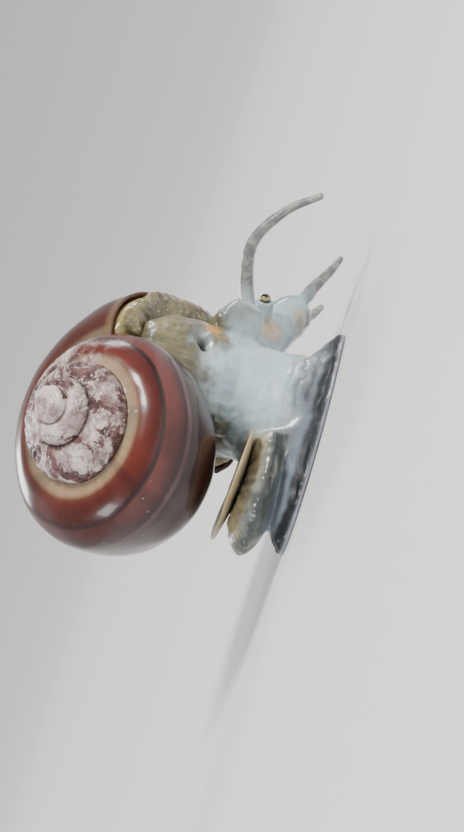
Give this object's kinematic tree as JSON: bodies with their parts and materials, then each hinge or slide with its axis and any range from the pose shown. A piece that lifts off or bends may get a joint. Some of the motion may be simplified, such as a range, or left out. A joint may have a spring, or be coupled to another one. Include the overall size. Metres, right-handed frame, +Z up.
{
  "type": "apple snail",
  "caption": "Living apple snail on its foot, dark burgundy shell, grey-blue body, head out, tentacles spread and operculum on the tail.",
  "frame": {"origin": "middle of the sole, on the ground", "axes": "+Z up, +Y the way the snail crawls, +X its right side"},
  "size_m": [0.0436, 0.0557, 0.0406],
  "materials": {
    "shell": "wet burgundy shell",
    "sole": "wet slate-blue skin",
    "flesh": "wet pale grey-blue skin",
    "collar": "wet olive-grey mantle",
    "horn": "horny plate",
    "eye": "wet black"
  },
  "bodies": {
    "root": {"shell": "shell", "mantle_collar": "collar", "operculum": "horn", "opercular_lobe": "flesh", "foot": "sole", "foot_front": "sole", "neck": "flesh", "head": "flesh", "snout": "flesh", "siphon": "flesh", "right_lobe": "flesh", "tentacle_left_1": "flesh", "tentacle_left_2": "flesh", "tentacle_left_3": "flesh", "tentacle_right_1": "flesh", "tentacle_right_2": "flesh", "tentacle_right_3": "flesh", "labial_palp_left": "flesh", "labial_palp_right": "flesh", "eye_stalk_left": "flesh", "eye_stalk_right": "flesh", "eye_left": "eye", "eye_right": "eye"}
  },
  "joints": []
}
